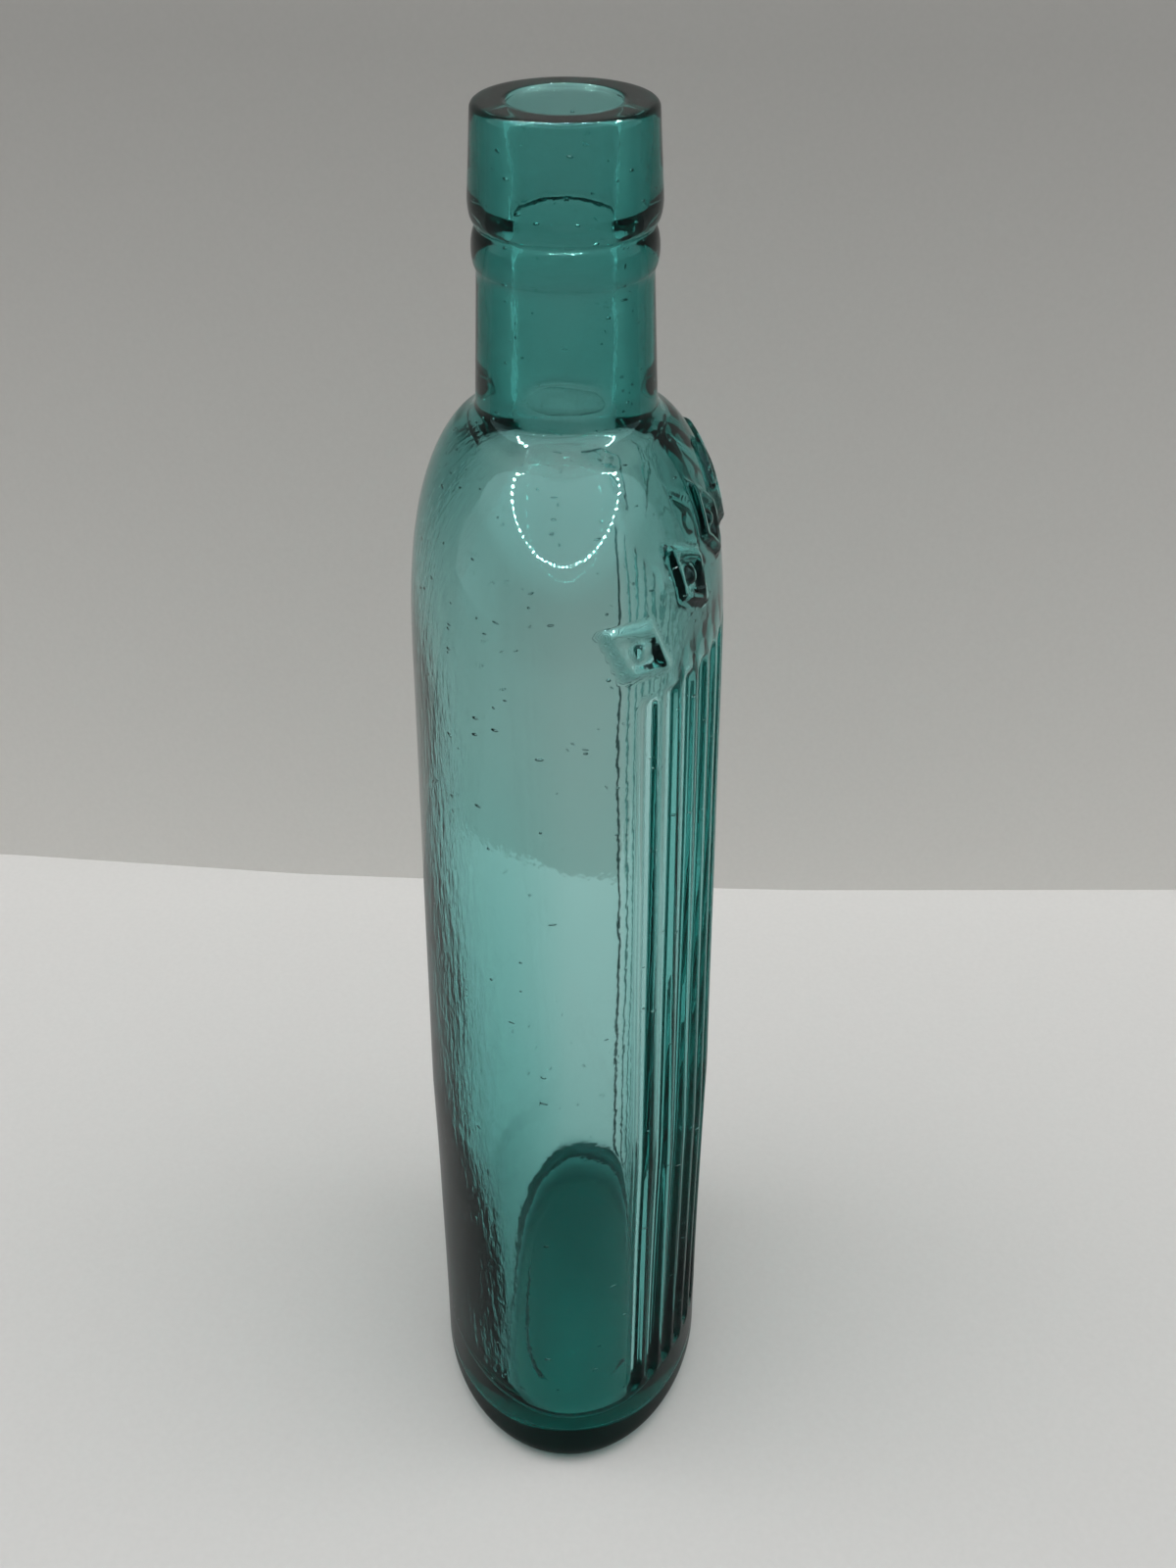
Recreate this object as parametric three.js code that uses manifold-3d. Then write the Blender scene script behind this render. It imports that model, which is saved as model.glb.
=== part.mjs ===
// Poison bottle of aqua glass: an oval body blown in a mould, with a fluted front that is
// known by touch, and the lip that was laid on hot around the sheared end of its neck.
// Millimetres, +Z up, origin under the middle of the base. The fluted front faces -Y.
import * as THREE from 'three';
import { mergeVertices } from 'three/addons/utils/BufferGeometryUtils.js';
import Module from 'manifold-3d';

const wasm = await Module();
wasm.setup();

// Body: an upright oval up to where the shoulder begins, drawn in a little at its foot
const BODY_WIDTH = 71;
const BODY_DEPTH = 45.5;
const BODY_HEIGHT = 135.5;
const WALL = 3.5;
const FOOT_DRAW_IN = 1.1;
const FOOT_DRAW_HEIGHT = 60;
const FOOT_DRAW_BEND = 1.5;

// Base: a rounded heel, a flat standing ring and a push-up dome inside it
const HEEL_RADIUS = 3.4;
const STANDING_RING = 5;
const PUSH_UP = 1;
const PUSH_UP_BEND = 5;
const BASE_THICKNESS = 9;
const INNER_HEEL_RADIUS = 4;

// Shoulder: the oval closes to the round neck along a superellipse
const SHOULDER_HEIGHT = 37.5;
const SHOULDER_FULLNESS = 3.1;
const SHOULDER_CROWN_BEND = 1.5;
const SHOULDER_CROWN_GLASS = 2;

// Neck: it sweeps into the shoulder, widens towards its foot, and its end carries the lip
const NECK_LENGTH = 20;
const NECK_FOOT_RADIUS = 12.7;
const NECK_SWEEP_DROP = 2;
const NECK_SWEEP_RISE = 2.5;
const NECK_TOP_RADIUS = 12.1;
const NECK_BORE_RADIUS = 5.2;
const NECK_END_RADIUS = 9.4;
const NECK_END_LENGTH = 15;
const NECK_END_BORE_RADIUS = 6.2;

// Lip: a ring bead, a groove and a band that narrows a little towards the rim
const LIP_HEIGHT = 22;
const LIP_FIT_GAP = 0.3;
const BEAD_HEIGHT = 5.8;
const BEAD_RADIUS = 12.6;
const GROOVE_RADIUS = 12.15;
const BAND_UNDERCUT_HEIGHT = 3.4;
const BAND_FOOT_RADIUS = 13.1;
const BAND_RIM_RADIUS = 12.5;
const RIM_EDGE_RADIUS = 0.9;
const MOUTH_RADIUS = 7.5;
const MOUTH_EDGE_HEIGHT = 2;

// Flutes: upright hollows with round ends, cut to a common height and evenly spaced along
// the front of the oval, which stays plain for a margin at its two narrow ends
const FLUTE_PITCH = 4.75;
const FLUTE_RADIUS = 1.9;
const FLUTE_DEPTH_MIDDLE = 1;
const FLUTE_DEPTH_END = 0.85;
const FLUTE_END_MARGIN = 12;
const HEEL_BAND = 12;
const FLUTE_RISE_ON_SHOULDER = 8.5;

// Smoothness of the round forms
const OVAL_SEGMENTS = 48;
const LIP_SEGMENTS = 40;
const ARC_STEPS = 4;
const DOME_STEPS = 6;
const SHOULDER_STEPS = 12;
const FRONT_DIVISIONS = 2000;
const FLUTE_CAP_STEPS = 3;
const FLUTE_SIDES = 16;
const FLUTE_STEPS = 6;
const FOOT_STEPS = 5;
const OVERRUN = 5;

// Heights that follow from the sizes above
const NECK_FOOT_Z = BODY_HEIGHT + SHOULDER_HEIGHT;
const SEAT_Z = NECK_FOOT_Z + NECK_LENGTH;
const RIM_Z = SEAT_Z + LIP_HEIGHT;
const NECK_END_Z = SEAT_Z + NECK_END_LENGTH;
const FLOOR_Z = PUSH_UP + BASE_THICKNESS;

const halfWidth = BODY_WIDTH / 2;
const halfDepth = BODY_DEPTH / 2;

// One ring of an oval form, given by its two half axes and its height.
const ring = (width, depth, z) => ({ width, depth, z });
const roundRing = (radius, z) => ring(radius, radius, z);

// Evenly spaced shares from 0 to 1, without the first.
const shares = (steps) => Array.from({ length: steps }, (_, i) => (i + 1) / steps);

// Revolves the rings' depths into a closed form, then gives each ring its own width.
function ovalForm(rings) {
  const profile = rings.map(({ depth, z }) => new THREE.Vector2(depth, z));
  const geometry = new THREE.LatheGeometry(profile, OVAL_SEGMENTS);
  geometry.rotateX(Math.PI / 2);
  const position = geometry.attributes.position;
  for (let i = 0; i < position.count; i += 1) {
    const { width, depth } = rings[i % rings.length];
    if (depth > 0) position.setX(i, position.getX(i) * width / depth);
  }
  return geometry;
}

// How far the body's sides are drawn in at a height, most at the heel.
function drawnIn(z) {
  const share = THREE.MathUtils.clamp((z - HEEL_RADIUS) / (FOOT_DRAW_HEIGHT - HEEL_RADIUS), 0, 1);
  return FOOT_DRAW_IN * (1 - Math.pow(share, FOOT_DRAW_BEND));
}

// The oval of the body's outside at a height, set in all round by an inset.
function bodyRing(z, inset) {
  return ring(halfWidth - drawnIn(z) - inset, halfDepth - drawnIn(z) - inset, z);
}

// The upright sides from a height up to the shoulder, set in all round by an inset.
function sideRings(fromZ, inset) {
  const foot = shares(FOOT_STEPS).map((share) => (
    bodyRing(THREE.MathUtils.lerp(fromZ, FOOT_DRAW_HEIGHT, share), inset)
  ));
  return [...foot, bodyRing(BODY_HEIGHT, inset)];
}

// How far the shoulder still stands out from the neck, from 1 at its foot to 0 at its crown.
function shoulderReach(share) {
  return Math.pow(1 - Math.pow(share, SHOULDER_FULLNESS), 1 / SHOULDER_CROWN_BEND);
}

// The rings of a shoulder from a body's half axes towards a neck's radius, stopped short of
// its crown by a drop. The shares crowd towards the crown, where the form turns fastest.
function shoulderRings(width, depth, neckRadius, height, drop) {
  return shares(SHOULDER_STEPS).map((step) => {
    const share = Math.sin(step * Math.PI / 2) * (1 - drop / height);
    const reach = shoulderReach(share);
    return ring(
      neckRadius + (width - neckRadius) * reach,
      neckRadius + (depth - neckRadius) * reach,
      BODY_HEIGHT + height * share,
    );
  });
}

// The sweep from the top of the shoulder up into the neck, bent at the neck's foot.
function neckSweep(from) {
  const foot = roundRing(NECK_FOOT_RADIUS, NECK_FOOT_Z);
  const end = roundRing(NECK_FOOT_RADIUS, NECK_FOOT_Z + NECK_SWEEP_RISE);
  const { lerp } = THREE.MathUtils;
  return shares(ARC_STEPS).map((share) => {
    const bend = (key) => lerp(
      lerp(from[key], foot[key], share),
      lerp(foot[key], end[key], share),
      share,
    );
    return ring(bend('width'), bend('depth'), bend('z'));
  });
}

function solidOf(geometry) {
  const bare = geometry.index ? geometry.toNonIndexed() : geometry;
  bare.deleteAttribute('normal');
  bare.deleteAttribute('uv');
  const merged = mergeVertices(bare, 1e-4);
  const corners = Array.from(merged.index.array);
  const triVerts = [];
  for (let i = 0; i < corners.length; i += 3) {
    const [a, b, c] = corners.slice(i, i + 3);
    if (a !== b && b !== c && c !== a) triVerts.push(a, b, c);
  }
  const mesh = new wasm.Mesh({
    numProp: 3,
    vertProperties: new Float32Array(merged.attributes.position.array),
    triVerts: new Uint32Array(triVerts),
  });
  return new wasm.Manifold(mesh);
}

function geometryOf(solid) {
  const { vertProperties, triVerts } = solid.getMesh();
  const geometry = new THREE.BufferGeometry();
  geometry.setAttribute('position', new THREE.BufferAttribute(vertProperties, 3));
  geometry.setIndex(new THREE.BufferAttribute(triVerts, 1));
  geometry.computeVertexNormals();
  return geometry;
}

// The outside of base, body, shoulder and neck, with the drawn-in end that carries the lip.
function outerForm() {
  const standing = bodyRing(0, HEEL_RADIUS);
  const domeEdge = bodyRing(0, HEEL_RADIUS + STANDING_RING);
  const dome = shares(DOME_STEPS).map((share) => ring(
    domeEdge.width * share,
    domeEdge.depth * share,
    PUSH_UP * (1 - Math.pow(share, PUSH_UP_BEND)),
  ));
  const heel = shares(ARC_STEPS).map((share) => {
    const turn = share * Math.PI / 2;
    const inset = HEEL_RADIUS * (1 - Math.sin(turn));
    return bodyRing(HEEL_RADIUS * (1 - Math.cos(turn)), inset);
  });
  const shoulder = shoulderRings(
    halfWidth, halfDepth, NECK_FOOT_RADIUS, SHOULDER_HEIGHT, NECK_SWEEP_DROP,
  );
  return ovalForm([
    roundRing(0, PUSH_UP),
    ...dome,
    standing,
    ...heel,
    ...sideRings(HEEL_RADIUS, 0),
    ...shoulder,
    ...neckSweep(shoulder.at(-1)),
    roundRing(NECK_TOP_RADIUS, SEAT_Z),
    roundRing(NECK_END_RADIUS, SEAT_Z),
    roundRing(NECK_END_RADIUS, NECK_END_Z),
    roundRing(0, NECK_END_Z),
  ]);
}

// The hollow inside: a flat floor with a round corner, the shoulder's inside and the bore.
function innerForm() {
  const { width, depth } = bodyRing(BODY_HEIGHT, WALL);
  const rise = SHOULDER_HEIGHT - SHOULDER_CROWN_GLASS;
  const cornerTopZ = FLOOR_Z + INNER_HEEL_RADIUS;
  const corner = shares(ARC_STEPS).map((share) => {
    const turn = share * Math.PI / 2;
    const inset = INNER_HEEL_RADIUS * (1 - Math.sin(turn));
    return bodyRing(cornerTopZ - INNER_HEEL_RADIUS * Math.cos(turn), WALL + inset);
  });
  return ovalForm([
    roundRing(0, FLOOR_Z),
    bodyRing(FLOOR_Z, WALL + INNER_HEEL_RADIUS),
    ...corner,
    ...sideRings(cornerTopZ, WALL),
    ...shoulderRings(width, depth, NECK_BORE_RADIUS, rise, 0),
    roundRing(NECK_BORE_RADIUS, SEAT_Z),
    roundRing(NECK_END_BORE_RADIUS, NECK_END_Z),
    roundRing(NECK_END_BORE_RADIUS, NECK_END_Z + OVERRUN),
    roundRing(0, NECK_END_Z + OVERRUN),
  ]);
}

// The cutters of the flutes. Each stands in front of the oval, sinks into it along the
// oval's normal and follows its drawn-in foot. They are deepest in the middle of the front.
function fluteCutters() {
  const front = new THREE.EllipseCurve(0, 0, halfWidth, halfDepth, Math.PI, 2 * Math.PI);
  front.arcLengthDivisions = FRONT_DIVISIONS;
  const length = front.getLength();
  const eachSide = Math.floor((length / 2 - FLUTE_END_MARGIN) / FLUTE_PITCH);
  const topZ = BODY_HEIGHT + FLUTE_RISE_ON_SHOULDER;
  const straight = topZ - HEEL_BAND - 2 * FLUTE_RADIUS;
  const cutters = [];
  for (let i = -eachSide; i <= eachSide; i += 1) {
    const { x, y } = front.getPointAt(0.5 + i * FLUTE_PITCH / length);
    const normal = new THREE.Vector2(x / halfWidth ** 2, y / halfDepth ** 2).normalize();
    const depth = THREE.MathUtils.lerp(FLUTE_DEPTH_MIDDLE, FLUTE_DEPTH_END, (i / eachSide) ** 2);
    const standOff = FLUTE_RADIUS - depth;
    const cutter = new THREE.CapsuleGeometry(
      FLUTE_RADIUS, straight, FLUTE_CAP_STEPS, FLUTE_SIDES, FLUTE_STEPS,
    );
    cutter.rotateX(Math.PI / 2);
    cutter.translate(0, 0, (topZ + HEEL_BAND) / 2);
    const position = cutter.attributes.position;
    for (let corner = 0; corner < position.count; corner += 1) {
      const out = standOff - drawnIn(position.getZ(corner));
      position.setX(corner, position.getX(corner) + x + normal.x * out);
      position.setY(corner, position.getY(corner) + y + normal.y * out);
    }
    cutters.push(cutter);
  }
  return cutters;
}

function blownBody() {
  let solid = solidOf(outerForm()).subtract(solidOf(innerForm()));
  for (const cutter of fluteCutters()) solid = solid.subtract(solidOf(cutter));
  return geometryOf(solid);
}

// Points of a quarter turn from one point to another, without the first. It leaves
// level when it leaves along the radius, and upright when it doesn't.
function quarterTurn(from, to, leavesLevel) {
  return shares(ARC_STEPS).map((share) => {
    const turn = share * Math.PI / 2;
    const level = leavesLevel ? Math.sin(turn) : 1 - Math.cos(turn);
    const upright = leavesLevel ? 1 - Math.cos(turn) : Math.sin(turn);
    return new THREE.Vector2(
      THREE.MathUtils.lerp(from.x, to.x, level),
      THREE.MathUtils.lerp(from.y, to.y, upright),
    );
  });
}

// The lip's section: outside from the bead up to the rim, then down the mouth and round
// the neck's end, which it clears by the fit gap. Its foot sits flat on the neck's step.
function appliedLip() {
  const socketRadius = NECK_END_RADIUS + LIP_FIT_GAP;
  const socketTopZ = NECK_END_Z + LIP_FIT_GAP;
  const beadMiddle = new THREE.Vector2(BEAD_RADIUS, SEAT_Z + BEAD_HEIGHT / 2);
  const groove = new THREE.Vector2(GROOVE_RADIUS, SEAT_Z + BEAD_HEIGHT);
  const bandFoot = new THREE.Vector2(BAND_FOOT_RADIUS, groove.y + BAND_UNDERCUT_HEIGHT);
  const rimSide = new THREE.Vector2(BAND_RIM_RADIUS, RIM_Z - RIM_EDGE_RADIUS);
  const rimTop = new THREE.Vector2(BAND_RIM_RADIUS - RIM_EDGE_RADIUS, RIM_Z);
  const mouthTop = new THREE.Vector2(MOUTH_RADIUS, RIM_Z);
  const mouthFoot = new THREE.Vector2(NECK_END_BORE_RADIUS, RIM_Z - MOUTH_EDGE_HEIGHT);
  const foot = new THREE.Vector2(NECK_TOP_RADIUS, SEAT_Z);
  const innerFoot = new THREE.Vector2(socketRadius, SEAT_Z);
  const section = [
    innerFoot,
    foot,
    ...quarterTurn(foot, beadMiddle, true),
    ...quarterTurn(beadMiddle, groove, false),
    ...quarterTurn(groove, bandFoot, true),
    rimSide,
    ...quarterTurn(rimSide, rimTop, false),
    mouthTop,
    ...quarterTurn(mouthTop, mouthFoot, true),
    new THREE.Vector2(NECK_END_BORE_RADIUS, socketTopZ),
    new THREE.Vector2(socketRadius, socketTopZ),
    innerFoot,
  ];
  const geometry = new THREE.LatheGeometry(section, LIP_SEGMENTS);
  geometry.rotateX(Math.PI / 2);
  return geometryOf(solidOf(geometry));
}

function glass(colour) {
  return new THREE.MeshStandardMaterial({ color: colour, roughness: 0.08, metalness: 0 });
}

function piece(name, geometry, material) {
  const mesh = new THREE.Mesh(geometry, material);
  mesh.name = name;
  return mesh;
}

const bottle = new THREE.Group();
bottle.add(
  piece('blown_body', blownBody(), glass(0x7fb0aa)),
  piece('applied_lip', appliedLip(), glass(0x568f8a)),
);

export default bottle;
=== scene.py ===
"""Oval poison bottle of aqua glass with a fluted front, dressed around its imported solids."""

import logging
import math
from dataclasses import dataclass, field
from enum import Enum
from typing import NamedTuple

import bpy
import numpy as np
from mathutils import Matrix, Vector, noise
from numpy.typing import NDArray


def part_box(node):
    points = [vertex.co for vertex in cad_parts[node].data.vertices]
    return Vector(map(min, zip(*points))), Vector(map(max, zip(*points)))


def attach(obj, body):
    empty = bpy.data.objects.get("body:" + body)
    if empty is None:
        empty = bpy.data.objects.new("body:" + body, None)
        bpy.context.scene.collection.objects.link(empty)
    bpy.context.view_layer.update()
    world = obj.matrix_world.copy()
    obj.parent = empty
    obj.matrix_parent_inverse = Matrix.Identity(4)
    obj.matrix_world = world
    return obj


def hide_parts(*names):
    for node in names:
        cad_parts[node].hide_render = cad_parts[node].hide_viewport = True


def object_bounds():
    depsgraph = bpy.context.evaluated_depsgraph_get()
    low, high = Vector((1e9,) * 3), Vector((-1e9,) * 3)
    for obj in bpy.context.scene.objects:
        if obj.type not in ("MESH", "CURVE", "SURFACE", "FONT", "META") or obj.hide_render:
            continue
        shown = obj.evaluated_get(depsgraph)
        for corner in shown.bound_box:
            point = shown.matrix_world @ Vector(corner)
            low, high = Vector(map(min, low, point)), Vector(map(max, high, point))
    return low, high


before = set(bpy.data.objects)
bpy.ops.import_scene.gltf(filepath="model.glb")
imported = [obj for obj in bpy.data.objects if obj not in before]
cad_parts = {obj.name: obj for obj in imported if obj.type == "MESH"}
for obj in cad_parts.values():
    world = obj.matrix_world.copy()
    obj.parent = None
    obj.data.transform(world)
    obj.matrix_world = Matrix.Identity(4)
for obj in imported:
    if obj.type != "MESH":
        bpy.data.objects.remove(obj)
cad_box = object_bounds()

LOG = logging.getLogger("poison_bottle")
MM = 0.001
Array = NDArray[np.float64]
Span = tuple[float, float]
LIGHT_BOUNCES = 32


class Ring(NamedTuple):
    """One level oval of a glass skin, in millimetres, with its middle set along X."""

    width: float
    depth: float
    z: float
    along: float = 0.0


class Face(Enum):
    """The two broad faces of the oval, by the sign of Y."""

    FLUTED = -1.0
    PLAIN = 1.0


def smooth_step(share: Array) -> Array:
    """Eases a share between 0 and 1 at both ends."""
    held = np.clip(share, 0.0, 1.0)
    return held * held * (3.0 - 2.0 * held)


def ranged(nodes: bpy.types.Nodes, span: Span, to: Span) -> bpy.types.Node:
    """Adds a node that maps one span of values onto another and holds past its ends.

    Args:
        nodes: The nodes to add to.
        span: The two ends of the values that come in.
        to: What those ends become.

    Returns:
        The new node.
    """
    node = nodes.new("ShaderNodeMapRange")
    node.inputs["From Min"].default_value, node.inputs["From Max"].default_value = span
    node.inputs["To Min"].default_value, node.inputs["To Max"].default_value = to
    return node


def worked(nodes: bpy.types.Nodes, kind: str, operation: str) -> bpy.types.Node:
    """Adds a node that works one sum.

    Args:
        nodes: The nodes to add to.
        kind: The node's kind, for numbers or for vectors.
        operation: The sum.

    Returns:
        The new node.
    """
    node = nodes.new(kind)
    node.operation = operation
    return node


def quarter_turn(start: Ring, end: Ring, leaves_level: bool, steps: int) -> list[Ring]:
    """Makes the rings of a rounded quarter turn between two rings.

    Args:
        start: The ring that the turn leaves, which isn't repeated.
        end: The ring that the turn reaches.
        leaves_level: True if the turn leaves along the radius, False if upright.
        steps: How many rings to make.

    Returns:
        The rings of the turn, the last of them at the end.
    """
    rings = []
    for step in range(1, steps + 1):
        turn = math.pi / 2 * step / steps
        level, upright = math.sin(turn), 1 - math.cos(turn)
        if not leaves_level:
            level, upright = upright, level
        rings.append(
            Ring(
                start.width + (end.width - start.width) * level,
                start.depth + (end.depth - start.depth) * level,
                start.z + (end.z - start.z) * upright,
            )
        )
    return rings


def straight_run(start: Ring, end: Ring, steps: int) -> list[Ring]:
    """Makes evenly spaced rings from one ring to another.

    Args:
        start: The ring that the run leaves, which isn't repeated.
        end: The ring that the run reaches.
        steps: How many rings to make.

    Returns:
        The rings of the run.
    """
    shares = np.linspace(0.0, 1.0, steps + 1)[1:]
    return [Ring(*(a + (b - a) * s for a, b in zip(start, end))) for s in shares]


def sweep(start: Ring, bend: Ring, end: Ring, steps: int) -> list[Ring]:
    """Makes the rings of a smooth sweep that starts and ends along the lines to its bend.

    Args:
        start: The ring that the sweep leaves, which isn't repeated.
        bend: The ring where the two straight lines would meet.
        end: The ring that the sweep reaches.
        steps: How many rings to make.

    Returns:
        The rings of the sweep.
    """
    rings = []
    for share in np.linspace(0.0, 1.0, steps + 1)[1:]:
        left, between, done = (1 - share) ** 2, 2 * share * (1 - share), share**2
        sizes = (a * left + b * between + c * done for a, b, c in zip(start, bend, end))
        rings.append(Ring(*sizes))
    return rings


@dataclass
class FlutedFront:
    """The round-ended flutes down the front, evenly spaced along the oval."""

    pitch: float = 4.75
    radius: float = 1.9
    depth_middle: float = 1.0
    depth_end: float = 0.85
    each_side: int = 7
    foot_z: float = 12.0
    top_z: float = 144.0
    ridge_softness: float = 0.13
    column_offsets: tuple[float, ...] = (-2.375, -1.9, -1.6, -1.2, -0.45, 0.45, 1.2, 1.6, 1.9)

    def angles(self, half_width: float, half_depth: float, places: Array) -> Array:
        """Finds where lengths along the front lie on the oval.

        Args:
            half_width: The oval's half axis along X.
            half_depth: The oval's half axis along Y.
            places: Lengths along the oval from the middle of the front.

        Returns:
            The oval's angle at each length.
        """
        turn = np.linspace(-math.pi, 0.0, 4001)
        step = np.hypot(np.diff(half_width * np.cos(turn)), np.diff(half_depth * np.sin(turn)))
        travel = np.concatenate([[0.0], np.cumsum(step)])
        return np.interp(places, travel - travel[-1] / 2, turn)

    def column_places(self) -> Array:
        """Gives the place of every column of points along the front, ridge to ridge.

        Returns:
            The places as lengths from the middle of the front.
        """
        flutes = np.arange(-self.each_side, self.each_side + 1) * self.pitch
        places = (flutes[:, None] + np.array(self.column_offsets)[None, :]).ravel()
        return np.append(places, (self.each_side + 0.5) * self.pitch)

    def depth_of(self, place: int) -> float:
        """Gives a flute's depth by its place from the middle."""
        share = (place / self.each_side) ** 2
        return self.depth_middle + (self.depth_end - self.depth_middle) * share

    def cut(self, points: Array, normals: Array, sides: "BlownBody") -> Array:
        """Measures how deep the flutes cut below each point of the plain skin.

        Args:
            points: The plain skin's points, in rows of rings.
            normals: The level normal of the oval at each column.
            sides: The body whose front is cut.

        Returns:
            The depth to sink each point along its column's normal.
        """
        z = points[:, :, 2]
        low, high = self.foot_z + self.radius, self.top_z - self.radius
        past_end = np.maximum(np.maximum(low - z, z - high), 0.0)
        inset = sides.drawn_in(z)
        soft = np.ones_like(z)
        flutes = range(-self.each_side, self.each_side + 1)
        turns = self.angles(sides.half_width, sides.half_depth, np.array(flutes) * self.pitch)
        for place, turn in zip(flutes, turns):
            x, y = sides.half_width * math.cos(turn), sides.half_depth * math.sin(turn)
            out = np.array([x / sides.half_width**2, y / sides.half_depth**2])
            out /= np.linalg.norm(out)
            stand = self.radius - self.depth_of(place) - inset
            gap_x = points[:, :, 0] - x - out[0] * stand
            gap_y = points[:, :, 1] - y - out[1] * stand
            along = gap_x * normals[None, :, 0] + gap_y * normals[None, :, 1]
            apart = gap_x**2 + gap_y**2
            room = self.radius**2 - past_end**2 - apart + along**2
            meets = (room > 0) & (apart < (2 * self.radius) ** 2)
            sunk = np.where(meets, along + np.sqrt(np.maximum(room, 0.0)), -9.0)
            soft += np.exp(np.clip(sunk / self.ridge_softness, -60.0, 60.0))
        return self.ridge_softness * np.log(soft)


@dataclass
class ShoulderFrieze:
    """The arch of raised lozenge frames, each round a bead, on the shoulder above the flutes."""

    each_side: int = 3
    spacing: float = 10.2
    crown_z: float = 162.0
    arch_drop: float = 11.6
    arch_reach: float = 31.0
    half_along: float = 4.5
    half_up: float = 7.4
    frame_width: float = 1.4
    bevel: float = 0.8
    relief: float = 0.9
    bead_radius: float = 1.3
    bead_relief: float = 0.95

    def arch_z(self, x: float) -> float:
        """Gives the height of the arch's middle line at a place across the front."""
        return self.crown_z - self.arch_drop * (x / self.arch_reach) ** 2

    def raise_by(self, points: Array, normals: Array) -> Array:
        """Measures how far the frieze stands above each point of the plain skin.

        Args:
            points: The plain skin's points, in rows of rings.
            normals: The skin's outward normals at those points.

        Returns:
            The height to raise each point along its normal.
        """
        height = np.zeros(points.shape[:2])
        front = points[:, :, 1] < 0
        for place in range(-self.each_side, self.each_side + 1):
            x = place * self.spacing
            z = self.arch_z(x)
            miss = (points[:, :, 0] - x) ** 2 + (points[:, :, 2] - z) ** 2
            row, column = np.unravel_index(np.argmin(np.where(front, miss, 1e9)), miss.shape)
            centre, out = points[row, column], normals[row, column]
            slope = -2 * self.arch_drop * x / self.arch_reach**2
            along = np.array([1.0, 0.0, slope])
            along -= out * (along @ out)
            along /= np.linalg.norm(along)
            up = np.cross(out, along)
            reach = points - centre
            u, v = np.abs(reach @ along), np.abs(reach @ up)
            near = front & (np.linalg.norm(reach, axis=2) < 2 * self.half_up)
            edge = (1 - u / self.half_along - v / self.half_up) * self.half_along
            edge *= self.half_up / math.hypot(self.half_along, self.half_up)
            inside = self.frame_width + self.bevel - edge
            band = smooth_step(edge / self.bevel) * smooth_step(inside / self.bevel)
            bead = np.clip(1 - (u**2 + v**2) / self.bead_radius**2, 0.0, 1.0)
            mark = np.maximum(self.relief * band, self.bead_relief * np.sqrt(bead))
            height = np.maximum(height, np.where(near, mark, 0.0))
        return height


@dataclass
class HandBlownSkin:
    """The waves and ripples that blowing leaves in a skin of glass."""

    wave_length: float
    wave_height: float
    ripple_length: float
    ripple_height: float
    stretch: float
    shift: float

    def heights(self, points: Array) -> Array:
        """Measures the waves at each point, from twice their depth up to nothing.

        Args:
            points: The skin's points, in rows of rings.

        Returns:
            The height of the skin at each point, never above the plain skin.
        """
        flat = points.reshape(-1, 3)
        drift = Vector((self.shift, 0.3 * self.shift, 0.7 * self.shift))
        wave = self._field(flat / self.wave_length, drift)
        squeeze = np.array([1.0, 1.0, self.stretch]) / self.ripple_length
        ripple = self._field(flat * squeeze, drift)
        height = self.wave_height * (wave - 1) + self.ripple_height * (ripple - 1)
        return height.reshape(points.shape[:2])

    @staticmethod
    def _field(places: Array, drift: Vector) -> Array:
        """Reads smooth noise at each place."""
        return np.array([noise.noise(Vector(place) + drift) for place in places])


@dataclass(frozen=True)
class WallGlass:
    """How thick the glass is round the oval of one face, and how it settles towards the foot.

    The thickness goes by the turn of the wall's normal in degrees, from 0 at the narrow end to
    90 at the middle of the face. The settling goes by height, as the lean of the inner wall in
    degrees, and it spreads round the face by a power of the normal.
    """

    thickness: tuple[tuple[float, float], ...]
    lean: tuple[tuple[float, float], ...]
    spread: float
    blend: float = 6.0

    def around(self, normals: Array, towards: float) -> Array:
        """Gives the thickness at each column of this face.

        Args:
            normals: The level normal of the oval at each column.
            towards: The sign of Y that this face looks to.

        Returns:
            The thickness at each column, which only holds on this face.
        """
        turns = np.arange(-30.0, 120.5, 0.5)
        folded = 90 - np.abs(90 - np.abs(turns))
        raw = np.interp(folded, *zip(*self.thickness))
        kernel = np.exp(-0.5 * (np.arange(-20.0, 20.5, 0.5) / self.blend) ** 2)
        smooth = np.convolve(raw, kernel / kernel.sum(), "same")
        facing = np.maximum(towards * normals[:, 1], 0)
        turned = np.degrees(np.arctan2(facing, np.abs(normals[:, 0])))
        return np.interp(turned, turns, smooth)

    def settled(self, z: Array) -> Array:
        """Gives the extra glass at each height, summed from the lean of the inner wall.

        Args:
            z: The heights.

        Returns:
            The extra thickness at each of them.
        """
        levels = np.linspace(0.0, 160.0, 641)
        slope = np.tan(np.radians(np.interp(levels, *zip(*self.lean))))
        below = np.cumsum(slope[::-1])[::-1] * (levels[1] - levels[0])
        return np.interp(z, levels, below)


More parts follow.
